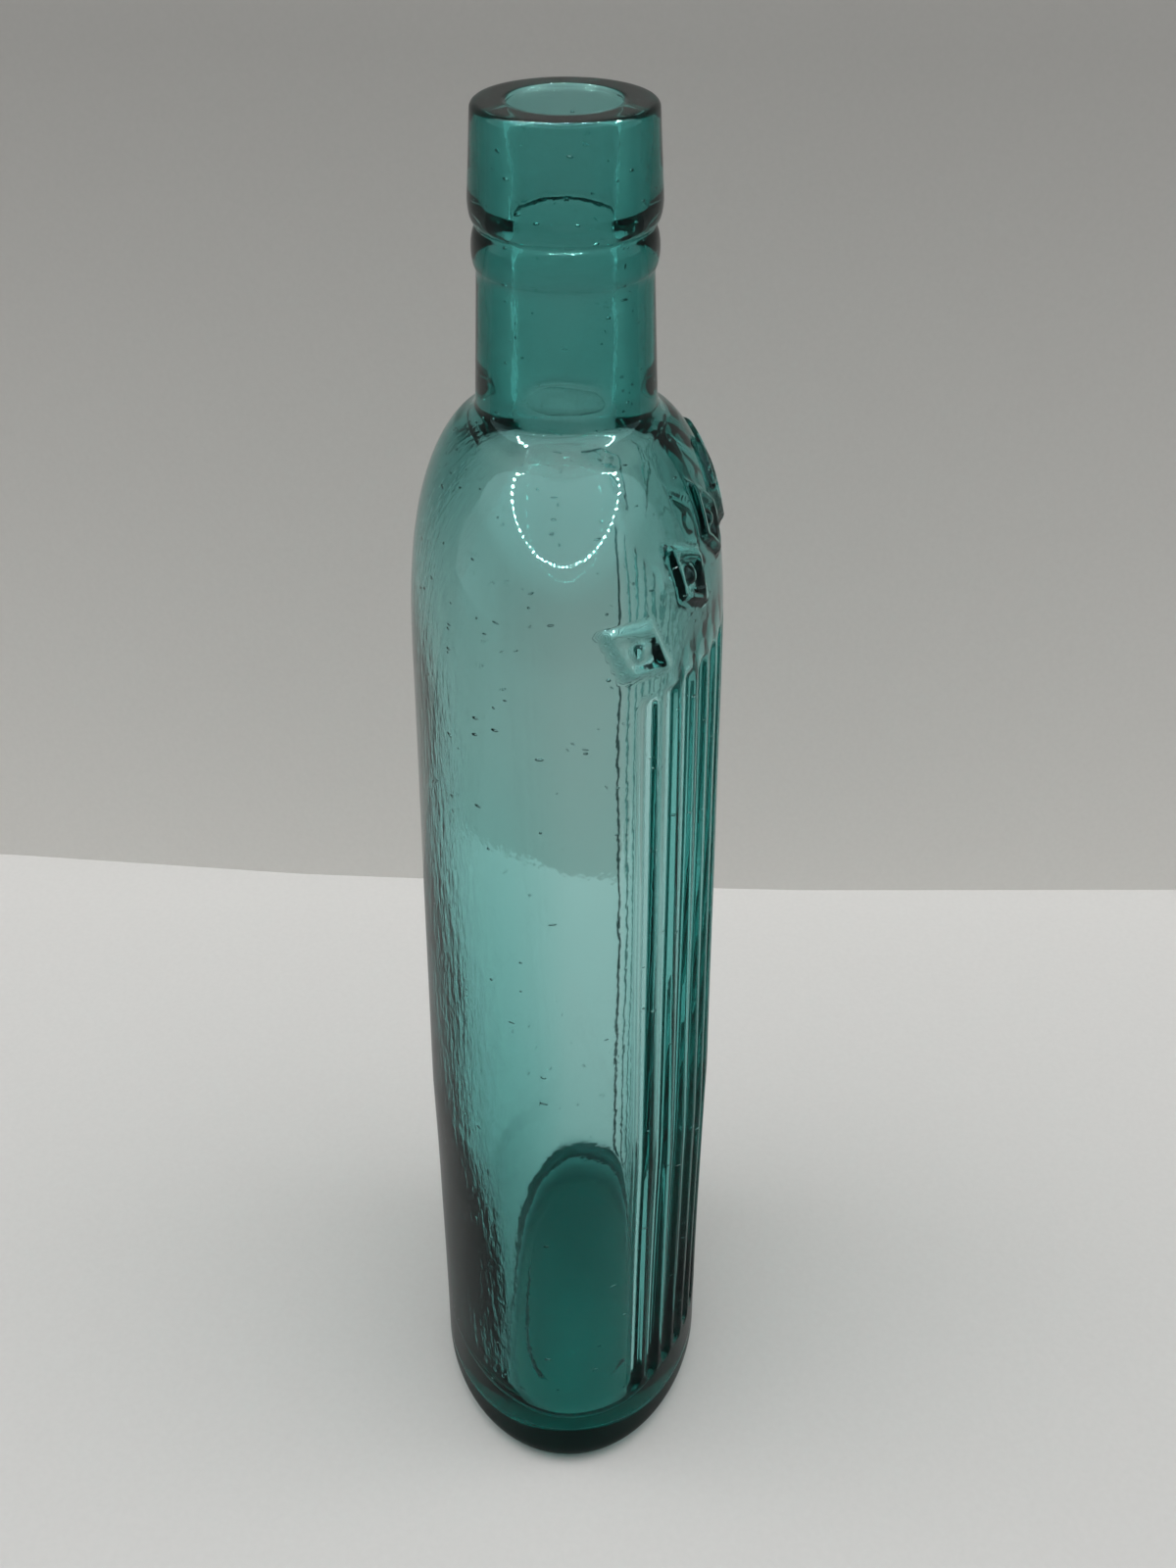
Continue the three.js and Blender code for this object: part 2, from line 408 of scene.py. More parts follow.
@dataclass
class BlownBody:
    """Base, oval sides, shoulder and neck, with the cavity inside them."""

    half_width: float
    half_depth: float
    height: float = 135.5
    wall: float = 1.9
    foot_draw_in: float = 1.1
    foot_draw_height: float = 60.0
    foot_draw_bend: float = 1.5
    heel_radius: float = 3.4
    push_up: float = 2.4
    push_up_bend: float = 1.4
    push_up_top: float = -8.0
    push_up_middle: float = 3.5
    push_up_half: tuple[float, float] = (23.5, 13.5)
    floor_z: float = 10.4
    floor_tilt: float = 0.064
    floor_tilt_fade: float = 30.0
    inner_heel_radius: float = 2.2
    shoulder_height: float = 37.5
    shoulder_fullness: float = 3.1
    crown_bend: float = 1.5
    crown_glass: float = 0.8
    crown_fade: float = 12.0
    neck_foot_radius: float = 12.7
    sweep_drop: float = 2.0
    sweep_rise: float = 1.2
    neck_top_radius: float = 12.1
    neck_bore: float = 6.5
    throat_drop: float = 3.0
    throat_rise: float = 4.0
    seat_z: float = 193.0
    end_lean: float = math.radians(0.5)
    end_lean_top: float = 140.0
    glass: dict[Face, WallGlass] = field(
        default_factory=lambda: {
            Face.PLAIN: WallGlass(
                thickness=((0, 1.95), (45, 2.3), (90, 2.3)),
                lean=((0, 0.3), (18, 0.5), (35, 1.0), (50, 1.8), (70, 1.3), (120, 1.2), (150, 0)),
                spread=2.0,
            ),
            Face.FLUTED: WallGlass(
                thickness=((0, 1.95), (20, 1.95), (37, 2.0), (48, 2.4), (65, 3.0), (90, 3.4)),
                lean=((0, 2.0), (40, 3.0), (80, 2.0), (118, 1.0), (140, 0)),
                spread=10.0,
            ),
        }
    )

    def drawn_in(self, z: Array | float) -> Array | float:
        """Gives how far the sides are drawn in at a height, most at the heel."""
        share = np.clip((z - self.heel_radius) / (self.foot_draw_height - self.heel_radius), 0, 1)
        return self.foot_draw_in * (1 - share**self.foot_draw_bend)

    def side(self, z: float, inset: float) -> Ring:
        """Gives the body's oval at a height, set in all round."""
        total = float(self.drawn_in(z)) + inset
        return Ring(self.half_width - total, self.half_depth - total, z)

    def shoulder(
        self, start: Ring, neck_radius: float, rise: float, drop: float, steps: int
    ) -> list[Ring]:
        """Makes the rings of the full round shoulder.

        Args:
            start: The oval at the shoulder's foot.
            neck_radius: The round radius at its crown.
            rise: The shoulder's height up to its crown.
            drop: How far below the crown the rings stop.
            steps: How many rings to make, evenly spaced along the curve.

        Returns:
            The rings above the start.
        """
        share = np.sin(np.linspace(0.0, math.pi / 2, 2000)) * (1 - drop / rise)
        reach = np.maximum(1 - share**self.shoulder_fullness, 0.0) ** (1 / self.crown_bend)
        run = np.hypot(np.diff(reach) * (start.width - neck_radius), np.diff(share) * rise)
        travel = np.concatenate([[0.0], np.cumsum(run)])
        stops = np.linspace(0.0, travel[-1], steps + 1)[1:]
        shares, reaches = np.interp(stops, travel, share), np.interp(stops, travel, reach)
        return [
            Ring(
                neck_radius + (start.width - neck_radius) * r,
                neck_radius + (start.depth - neck_radius) * r,
                start.z + rise * s,
            )
            for s, r in zip(shares, reaches)
        ]

    def outside(self) -> list[Ring]:
        """Makes the outside from the middle of the base up to the neck's top.

        Returns:
            The rings, the first of them round the top of the push-up.
        """
        width, depth = self.push_up_half
        rings = []
        for share in np.sin(np.linspace(0.03, math.pi / 2, 18)):
            rise = self.push_up * (1 - share**self.push_up_bend)
            along = self.push_up_top + (self.push_up_middle - self.push_up_top) * share
            rings.append(Ring(width * share, depth * share, rise, along))
        rings += straight_run(rings[-1], self.side(0.0, self.heel_radius), 5)
        rings += quarter_turn(rings[-1], self.side(self.heel_radius, 0.0), True, 10)
        levels = np.concatenate(
            [
                np.arange(4.4, 11.0, 0.95),
                np.arange(11.2, 17.0, 0.42),
                np.linspace(17.2, 136.0, 96),
            ]
        )
        rings += [self.side(float(z), 0.0) for z in levels if z < self.height]
        rings.append(self.side(self.height, 0.0))
        foot_z = self.height + self.shoulder_height
        foot = Ring(self.neck_foot_radius, self.neck_foot_radius, foot_z)
        rings += self.shoulder(rings[-1], foot.width, self.shoulder_height, self.sweep_drop, 84)
        rings += sweep(rings[-1], foot, foot._replace(z=foot.z + self.sweep_rise), 9)
        neck_top = Ring(self.neck_top_radius, self.neck_top_radius, self.seat_z)
        return rings + straight_run(rings[-1], neck_top, 20)

    def cavity(self) -> list[Ring]:
        """Makes the cavity from the neck's bore down to the middle of the inner floor.

        Returns:
            The rings, the last of them round the floor's middle.
        """
        start = self.side(self.height, self.wall)
        rise = self.shoulder_height - self.crown_glass
        dome = self.shoulder(start, self.neck_bore, rise, self.throat_drop, 36)
        foot = Ring(self.neck_bore, self.neck_bore, self.height + rise)
        throat = sweep(dome[-1], foot, foot._replace(z=foot.z + self.throat_rise), 10)
        rings = (dome + throat)[::-1]
        corner_z = self.floor_z + self.inner_heel_radius
        levels = np.linspace(self.height, corner_z, 56)
        rings += [self.side(float(z), self.wall) for z in levels]
        floor_edge = self.side(self.floor_z, self.wall + self.inner_heel_radius)
        rings += quarter_turn(rings[-1], floor_edge, False, 12)
        for share in np.linspace(1.0, 0.03, 15)[1:]:
            rings.append(Ring(floor_edge.width * share, floor_edge.depth * share, self.floor_z))
        return rings

    def heel_tap(self, points: Array) -> Array:
        """Gives the lift of the uneven inner floor, which dies out up the walls."""
        low = 1 - smooth_step((points[:, :, 2] - self.floor_z) / self.floor_tilt_fade)
        return self.floor_tilt * points[:, :, 0] * low

    def foot_glass(self, points: Array, normals: Array) -> Array:
        """Measures the extra glass that settles inside the foot of the walls.

        Args:
            points: The cavity's points, in rows of rings.
            normals: The level normal of the oval at each column.

        Returns:
            How far each point moves in from the plain cavity.
        """
        z = points[:, :, 2]
        crown_z = self.height + self.shoulder_height - self.crown_glass
        below = smooth_step((crown_z - z) / self.crown_fade)
        extra = np.zeros(points.shape[:2])
        for face, glass in self.glass.items():
            facing = face.value * normals[:, 1]
            more = glass.around(normals, face.value) - self.wall
            extra += below * np.where(facing > 0, more, 0.0)[None, :]
            turned = np.clip(facing, 0.0, 1.0) ** glass.spread
            extra += glass.settled(z) * turned[None, :]
        ends = math.tan(self.end_lean) * np.maximum(self.end_lean_top - z, 0.0)
        extra += ends * (normals[:, 0] ** 2)[None, :]
        reach = np.abs(points[:, :, :2]).max(axis=2) / (self.half_width - self.wall)
        return extra * smooth_step(reach * 2.0)


@dataclass
class AppliedLip:
    """The lip band and ring bead laid on round the neck's end, with the mouth."""

    seat: Ring
    rim_z: float
    bead_height: float = 5.8
    bead_radius: float = 12.75
    groove_radius: float = 11.85
    undercut_height: float = 3.4
    band_foot_radius: float = 13.1
    band_rim_radius: float = 12.5
    rim_edge_radius: float = 0.9
    mouth_radius: float = 7.7
    mouth_edge_height: float = 1.6
    bore_radius: float = 6.9
    bore_foot_z: float = 201.5
    joint_height: float = 2.0

    def outside(self) -> list[Ring]:
        """Makes the outside from the neck's top up to the rim and in to the mouth.

        Returns:
            The rings above the neck's top.
        """
        bead_z = self.seat.z + self.bead_height / 2
        bead = Ring(self.bead_radius, self.bead_radius, bead_z)
        groove_z = self.seat.z + self.bead_height
        groove = Ring(self.groove_radius, self.groove_radius, groove_z)
        foot_z = groove_z + self.undercut_height
        band_foot = Ring(self.band_foot_radius, self.band_foot_radius, foot_z)
        side_z = self.rim_z - self.rim_edge_radius
        rim_side = Ring(self.band_rim_radius, self.band_rim_radius, side_z)
        top_radius = self.band_rim_radius - self.rim_edge_radius
        rings = quarter_turn(self.seat, bead, True, 6)
        rings += quarter_turn(bead, groove, False, 6)
        rings += quarter_turn(groove, band_foot, True, 7)
        rings += straight_run(band_foot, rim_side, 14)
        rings += quarter_turn(rim_side, Ring(top_radius, top_radius, self.rim_z), False, 6)
        mouth = Ring(self.mouth_radius, self.mouth_radius, self.rim_z)
        return rings + straight_run(rings[-1], mouth, 6)

    def mouth(self, bore: Ring) -> list[Ring]:
        """Makes the mouth's rounded edge and the bore down to the neck's own bore.

        Args:
            bore: The ring of the neck's bore that the lip's bore runs into.

        Returns:
            The rings from below the rim down to just above that ring.
        """
        top = Ring(self.mouth_radius, self.mouth_radius, self.rim_z)
        edge_z = self.rim_z - self.mouth_edge_height
        rings = quarter_turn(top, Ring(self.bore_radius, self.bore_radius, edge_z), True, 8)
        foot = Ring(self.bore_radius, self.bore_radius, self.bore_foot_z)
        rings += straight_run(rings[-1], foot, 6)
        neck = Ring(bore.width, bore.depth, self.bore_foot_z - self.joint_height)
        rings += straight_run(rings[-1], neck, 5)
        return rings + straight_run(neck, bore, 17)[:-1]


@dataclass
class SeedBubbles:
    """The small drawn-out bubbles in the wall of the glass."""

    count: int = 540
    seed: int = 11
    long_axis: Span = (0.16, 0.7)
    short_axis: Span = (0.12, 0.25)
    sink: Span = (0.6, 1.3)
    tilt: Span = (-0.25, 0.25)
    rounds: int = 3
    slices: int = 5

    def voids(self, outer: Array, inner_gap: float) -> tuple[Array, list[tuple[int, ...]]]:
        """Makes the voids, each a small turned-in ellipsoid inside the wall.

        Args:
            outer: The outside skin's points of the upright walls, in rows of rings.
            inner_gap: How deep the middle of the wall lies below the outside.

        Returns:
            The voids' points and their faces, numbered from 0.
        """
        draw = np.random.default_rng(self.seed)
        points: list[Array] = []
        faces: list[tuple[int, ...]] = []
        rows, columns = outer.shape[:2]
        steps = np.linalg.norm(np.roll(outer[0], -1, axis=0) - outer[0], axis=1)
        travel = np.cumsum(steps)
        for _ in range(self.count):
            row = int(draw.integers(1, rows - 1))
            column = int(np.searchsorted(travel, draw.uniform(0.0, travel[-1]))) % columns
            along = outer[row, (column + 1) % columns] - outer[row, column - 1]
            along /= np.linalg.norm(along)
            up = np.array([0.0, 0.0, 1.0])
            out = np.cross(along, up)
            sink = inner_gap * draw.uniform(*self.sink)
            centre = outer[row, column] - out * sink
            long_half = draw.uniform(*self.long_axis)
            short_half = min(draw.uniform(*self.short_axis), long_half)
            tilt = draw.uniform(*self.tilt)
            axis = along * math.cos(tilt) + up * math.sin(tilt)
            rise = up * math.cos(tilt) - along * math.sin(tilt)
            start = sum(len(part) for part in points)
            made, shell = self._ellipsoid(long_half, short_half)
            points.append(centre + made[:, :1] * axis + made[:, 1:2] * rise + made[:, 2:] * out)
            faces += [tuple(start + corner for corner in face) for face in shell]
        return np.concatenate(points), faces

    def _ellipsoid(
        self, long_half: float, short_half: float
    ) -> tuple[Array, list[tuple[int, ...]]]:
        """Makes one ellipsoid with its faces turned in.

        Args:
            long_half: Half its length.
            short_half: Half its height and depth.

        Returns:
            Its points along the long, upright and outward axes, and its faces.
        """
        points = [(-long_half, 0.0, 0.0)]
        for turn in np.linspace(0.0, math.pi, self.rounds + 1)[1:-1]:
            for spin in np.linspace(0.0, 2 * math.pi, self.slices, endpoint=False):
                reach = short_half * math.sin(turn)
                place = (reach * math.cos(spin), reach * math.sin(spin))
                points.append((-long_half * math.cos(turn), *place))
        points.append((long_half, 0.0, 0.0))
        faces: list[tuple[int, ...]] = []
        last = len(points) - 1
        for spin in range(self.slices):
            after = (spin + 1) % self.slices
            faces.append((0, 1 + spin, 1 + after))
            for turn in range(self.rounds - 2):
                low, high = 1 + turn * self.slices, 1 + (turn + 1) * self.slices
                faces.append((low + spin, high + spin, high + after, low + after))
            end = 1 + (self.rounds - 2) * self.slices
            faces.append((end + spin, last, end + after))
        return np.array(points), faces


@dataclass(frozen=True)
class AquaGlass:
    """Blue-green bottle glass: clear, hand-smooth and faintly seedy."""

    tint: tuple[float, float, float] = (0.109, 0.7, 0.674)
    density: float = 230.0
    ior: float = 1.52
    shine: tuple[float, float, float] = (0.25, 0.6, 0.6)
    bloom_scale: float = 60.0
    bloom_span: Span = (0.55, 0.8)
    haze: Span = (0.03, 0.05)
    ripple_scale: float = 420.0
    ripple_strength: float = 0.12
    ripple_height: float = 0.0001
    streak_scale: float = 800.0
    streak_stretch: float = 0.25
    streak_height: float = 0.000045
    streak_from_y: Span = (0.004, 0.014)
    streak_from_z: Span = (0.168, 0.176)

    def material(self) -> bpy.types.Material:
        """Makes the glass with its bloom, its fine ripple and the streaks drawn inside it.

        Returns:
            The material.
        """
        made = bpy.data.materials.new("aqua_glass")
        made.use_nodes = True
        nodes, links = made.node_tree.nodes, made.node_tree.links
        shader = nodes["Principled BSDF"]
        shader.inputs["Base Color"].default_value = (1.0, 1.0, 1.0, 1.0)
        shader.inputs["Transmission Weight"].default_value = 1.0
        shader.inputs["IOR"].default_value = self.ior
        shader.inputs["Specular Tint"].default_value = (*self.shine, 1.0)
        place = nodes.new("ShaderNodeTexCoord")
        bloom = nodes.new("ShaderNodeTexNoise")
        bloom.inputs["Scale"].default_value = self.bloom_scale
        bloom.inputs["Detail"].default_value = 6.0
        links.new(place.outputs["Object"], bloom.inputs["Vector"])
        haze = ranged(nodes, self.bloom_span, self.haze)
        links.new(bloom.outputs["Fac"], haze.inputs["Value"])
        links.new(haze.outputs["Result"], shader.inputs["Roughness"])
        fine = nodes.new("ShaderNodeTexNoise")
        fine.inputs["Scale"].default_value = self.ripple_scale
        fine.inputs["Detail"].default_value = 2.0
        links.new(place.outputs["Object"], fine.inputs["Vector"])
        ripple = nodes.new("ShaderNodeBump")
        ripple.inputs["Strength"].default_value = self.ripple_strength
        ripple.inputs["Distance"].default_value = self.ripple_height
        links.new(fine.outputs["Fac"], ripple.inputs["Height"])
        stretch = worked(nodes, "ShaderNodeVectorMath", "MULTIPLY")
        stretch.inputs[1].default_value = (1.0, 1.0, self.streak_stretch)
        links.new(place.outputs["Object"], stretch.inputs[0])
        streak = nodes.new("ShaderNodeTexNoise")
        streak.inputs["Scale"].default_value = self.streak_scale
        streak.inputs["Detail"].default_value = 3.0
        links.new(stretch.outputs["Vector"], streak.inputs["Vector"])
        inside = nodes.new("ShaderNodeAttribute")
        inside.attribute_name = "inside"
        split = nodes.new("ShaderNodeSeparateXYZ")
        links.new(place.outputs["Object"], split.inputs["Vector"])
        plain_side = ranged(nodes, self.streak_from_y, (0.0, 1.0))
        links.new(split.outputs["Y"], plain_side.inputs["Value"])
        throat = ranged(nodes, self.streak_from_z, (0.0, 1.0))
        links.new(split.outputs["Z"], throat.inputs["Value"])
        either = worked(nodes, "ShaderNodeMath", "MAXIMUM")
        links.new(plain_side.outputs["Result"], either.inputs[0])
        links.new(throat.outputs["Result"], either.inputs[1])
        where = worked(nodes, "ShaderNodeMath", "MULTIPLY")
        links.new(inside.outputs["Fac"], where.inputs[0])
        links.new(either.outputs["Value"], where.inputs[1])
        streaky = worked(nodes, "ShaderNodeMath", "MULTIPLY")
        links.new(streak.outputs["Fac"], streaky.inputs[0])
        links.new(where.outputs["Value"], streaky.inputs[1])
        drawn = nodes.new("ShaderNodeBump")
        drawn.inputs["Strength"].default_value = 1.0
        drawn.inputs["Distance"].default_value = self.streak_height
        links.new(streaky.outputs["Value"], drawn.inputs["Height"])
        links.new(ripple.outputs["Normal"], drawn.inputs["Normal"])
        links.new(drawn.outputs["Normal"], shader.inputs["Normal"])
        body = nodes.new("ShaderNodeVolumeAbsorption")
        body.inputs["Color"].default_value = (*self.tint, 1.0)
        body.inputs["Density"].default_value = self.density
        links.new(body.outputs["Volume"], nodes["Material Output"].inputs["Volume"])
        return made


@dataclass
class BottleGlass:
    """The whole bottle as one fused piece of glass: blown body, lip, flutes, frieze, seeds."""

    body: BlownBody
    lip: AppliedLip
    flutes: FlutedFront
    frieze: ShoulderFrieze
    outer_skin: HandBlownSkin
    inner_skin: HandBlownSkin
    throat_skin: HandBlownSkin
    seeds: SeedBubbles
    finish: AquaGlass
    plain_columns: int = 50
    side_columns: int = 7
    side_step: float = 0.8
    edge_softness: float = 0.32
    throat_from: float = 30.0
    throat_fade: float = 6.0
    seedless_foot_rows: int = 40
    seedless_rim_rows: int = 14

    def column_angles(self) -> Array:
        """Places the columns of points round the oval, close together across the flutes.

        Returns:
            The oval's angle at each column.
        """
        places = self.flutes.column_places()
        aside = self.side_step * np.arange(1, self.side_columns + 1)
        places = np.concatenate([places[0] - aside[::-1], places, places[-1] + aside])
        front = self.flutes.angles(self.body.half_width, self.body.half_depth, places)
        back = np.linspace(front[-1], front[0] + 2 * math.pi, self.plain_columns + 1)[1:-1]
        return np.concatenate([front, back])

    def soften(self, rings: list[Ring]) -> Array:
        """Rounds every edge of the section the way fire leaves it.

        Args:
            rings: The section's rings from the base's middle round to the inner floor's.

        Returns:
            The softened rings as rows of width, depth, height and place along X.
        """
        raw = np.array(rings)
        run = np.linalg.norm(np.diff(raw[:, [0, 2]], axis=0), axis=1)
        travel = np.concatenate([[0.0], np.cumsum(run)])
        spacing = np.gradient(travel)
        weight = np.exp(-0.5 * ((travel[:, None] - travel[None, :]) / self.edge_softness) ** 2)
        weight *= spacing[None, :]
        weight /= weight.sum(axis=1, keepdims=True)
        return weight @ raw

    def skins(self) -> tuple[Array, int]:
        """Shapes the outside and the cavity as one grid of points.

        Returns:
            The points in rows of rings, and how many rows belong to the outside.
        """
        outside = self.body.outside()
        outside += self.lip.outside()
        cavity = self.body.cavity()
        cavity = self.lip.mouth(cavity[0]) + cavity
        rings = self.soften(outside + cavity)
        turn = self.column_angles()
        cosine, sine = np.cos(turn), np.sin(turn)
        points = np.stack(
            [
                rings[:, :1] * cosine[None, :] + rings[:, 3:],
                rings[:, 1:2] * sine[None, :],
                np.repeat(rings[:, 2:3], len(turn), axis=1),
            ],
            axis=2,
        )
        level = np.stack([cosine / self.body.half_width, sine / self.body.half_depth], axis=1)
        level /= np.linalg.norm(level, axis=1, keepdims=True)
        split = len(outside)
        outer, inner = points[:split], points[split:]
        sunk = self.flutes.cut(outer, level, self.body)
        normals = self.normals(points)
        raised = self.frieze.raise_by(outer, normals[:split])
        outer[:, :, :2] -= sunk[:, :, None] * level[None, :, :]
        outer += (raised + self.outer_skin.heights(outer))[:, :, None] * normals[:split]
        inner[:, :, 2] += self.body.heel_tap(inner)
        settled = self.body.foot_glass(inner, level)
        inner[:, :, :2] -= settled[:, :, None] * level[None, :, :]
        throat_z = self.body.height + self.throat_from
        throat = smooth_step((inner[:, :, 2] - throat_z) / self.throat_fade)
        waves = self.inner_skin.heights(inner) + throat * self.throat_skin.heights(inner)
        inner += waves[:, :, None] * normals[split:]
        return points, split

    @staticmethod
    def normals(points: Array) -> Array:
        """Measures the outward normals of a grid of points that closes round its columns.

        Args:
            points: The points in rows of rings.

        Returns:
            A normal for each point.
        """
        around = np.roll(points, -1, axis=1) - np.roll(points, 1, axis=1)
        up = np.gradient(points, axis=0)
        across = np.cross(around, up)
        return across / np.maximum(np.linalg.norm(across, axis=2, keepdims=True), 1e-9)

    def build(self) -> bpy.types.Object:
        """Makes the bottle's mesh, dressed and riding on the frame.

        Returns:
            The bottle as one closed piece of glass.
        """
        points, split = self.skins()
        low, high = (np.array(corner) / MM for corner in cad_box)
        rows, columns = points.shape[:2]
        flat = np.clip(points.reshape(-1, 3), low, high)
        tops = np.array([flat[:columns].mean(axis=0), flat[-columns:].mean(axis=0)])
        first, last = rows * columns, rows * columns + 1
        faces: list[tuple[int, ...]] = []
        for column in range(columns):
            after = (column + 1) % columns
            faces.append((first, after, column))
            faces.append((last, (rows - 1) * columns + column, (rows - 1) * columns + after))
            for row in range(rows - 1):
                here, above = row * columns, (row + 1) * columns
                faces.append((here + column, here + after, above + after, above + column))
        upright = points[self.seedless_foot_rows : split - self.seedless_rim_rows]
        voids, shells = self.seeds.voids(upright, self.body.wall / 2)
        start = last + 1
        faces += [tuple(start + corner for corner in face) for face in shells]
        mesh = bpy.data.meshes.new("bottle_glass")
        mesh.from_pydata((np.concatenate([flat, tops, voids]) * MM).tolist(), [], faces)
        mesh.shade_smooth()
        inside = np.zeros(len(mesh.vertices))
        inside[split * columns : rows * columns] = 1.0
        mesh.attributes.new("inside", "FLOAT", "POINT").data.foreach_set("value", inside)
        mesh.materials.append(self.finish.material())
        piece = bpy.data.objects.new("bottle_glass", mesh)
        bpy.context.scene.collection.objects.link(piece)
        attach(piece, "root")
        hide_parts("blown_body", "applied_lip")
        return piece


@dataclass(frozen=True)
class PaperFinish:
    """Plain matt paper with a faint grain, with painted light and shade laid over its colour."""

    name: str
    colour: tuple[float, float, float]
    one_sided: bool = False
    # Painted light: the colour is scaled along this axis, from the first gain to the second over
    # the span, for how the light falls.
    painted_light_axis: str = "Z"
    painted_light_span: Span = (0.0, 0.19)
    painted_light_gain: Span = (1.0, 1.0)
    grain_scale: float = 900.0
    grain_spread: float = 0.03
    # Painted shade on reflections: the paper is dimmed to this share where the glass mirrors it.
    painted_reflection_dim: float = 0.4
    # Painted pool of light: inside this oval the paper is paler by the gain, standing in for
    # light let through the glass under the bottle.
    painted_pool_half: Span | None = None
    painted_pool_gain: float = 1.6
    painted_pool_edge: Span = (0.85, 1.0)

    def material(self) -> bpy.types.Material:
        """Makes the paper, with a painted brightness ramp, painted shade where the glass mirrors
        it and a painted pool of light where the bottle covers it.

        Returns:
            The material.
        """
        made = bpy.data.materials.new(self.name)
        made.use_nodes = True
        nodes, links = made.node_tree.nodes, made.node_tree.links
        shader = nodes["Principled BSDF"]
        shader.inputs["Roughness"].default_value = 0.9
        shader.inputs["Specular IOR Level"].default_value = 0.1
        place = nodes.new("ShaderNodeTexCoord")
        grain = nodes.new("ShaderNodeTexNoise")
        grain.inputs["Scale"].default_value = self.grain_scale
        links.new(place.outputs["Object"], grain.inputs["Vector"])
        ramp = nodes.new("ShaderNodeValToRGB")
        for tone, step in zip(ramp.color_ramp.elements, (-self.grain_spread, self.grain_spread)):
            tone.color = (*((1 + step) * c for c in self.colour), 1.0)
        links.new(grain.outputs["Fac"], ramp.inputs["Fac"])
        split = nodes.new("ShaderNodeSeparateXYZ")
        links.new(place.outputs["Object"], split.inputs["Vector"])
        # Painted light: the grain's colour is scaled along one axis for how the light falls.
        painted_light_scale = ranged(nodes, self.painted_light_span, self.painted_light_gain)
        links.new(split.outputs[self.painted_light_axis], painted_light_scale.inputs["Value"])
        fade = worked(nodes, "ShaderNodeVectorMath", "SCALE")
        links.new(ramp.outputs["Color"], fade.inputs["Vector"])
        links.new(painted_light_scale.outputs["Result"], fade.inputs["Scale"])
        # Painted shade in reflections: the paper is dimmed where glossy rays, but not
        # transmission rays, see it.
        path = nodes.new("ShaderNodeLightPath")
        mirror = worked(nodes, "ShaderNodeMath", "SUBTRACT")
        mirror.use_clamp = True
        links.new(path.outputs["Is Glossy Ray"], mirror.inputs[0])
        links.new(path.outputs["Is Transmission Ray"], mirror.inputs[1])
        dim = ranged(nodes, (0.0, 1.0), (1.0, self.painted_reflection_dim))
        links.new(mirror.outputs["Value"], dim.inputs["Value"])
        seen = worked(nodes, "ShaderNodeVectorMath", "SCALE")
        links.new(fade.outputs["Vector"], seen.inputs["Vector"])
        links.new(dim.outputs["Result"], seen.inputs["Scale"])
        links.new(seen.outputs["Vector"], shader.inputs["Base Color"])
        # Painted pool of light: the paper is made paler inside an oval round the middle, under
        # the bottle's base.
        if self.painted_pool_half:
            scaled = worked(nodes, "ShaderNodeVectorMath", "DIVIDE")
            scaled.inputs[1].default_value = (*self.painted_pool_half, 1.0)
            links.new(place.outputs["Object"], scaled.inputs[0])
            reach = worked(nodes, "ShaderNodeVectorMath", "LENGTH")
            links.new(scaled.outputs["Vector"], reach.inputs[0])
            painted_pool_share = ranged(nodes, self.painted_pool_edge, (self.painted_pool_gain, 1.0))
            links.new(reach.outputs["Value"], painted_pool_share.inputs["Value"])
            painted_pool_colour = worked(nodes, "ShaderNodeVectorMath", "SCALE")
            links.new(seen.outputs["Vector"], painted_pool_colour.inputs["Vector"])
            links.new(painted_pool_share.outputs["Result"], painted_pool_colour.inputs["Scale"])
            links.new(painted_pool_colour.outputs["Vector"], shader.inputs["Base Color"])
        if self.one_sided:
            clear = nodes.new("ShaderNodeBsdfTransparent")
            side = nodes.new("ShaderNodeNewGeometry")
            mix = nodes.new("ShaderNodeMixShader")
            links.new(side.outputs["Backfacing"], mix.inputs["Fac"])
            links.new(shader.outputs["BSDF"], mix.inputs[1])
            links.new(clear.outputs["BSDF"], mix.inputs[2])
            links.new(mix.outputs["Shader"], nodes["Material Output"].inputs["Surface"])
        return made


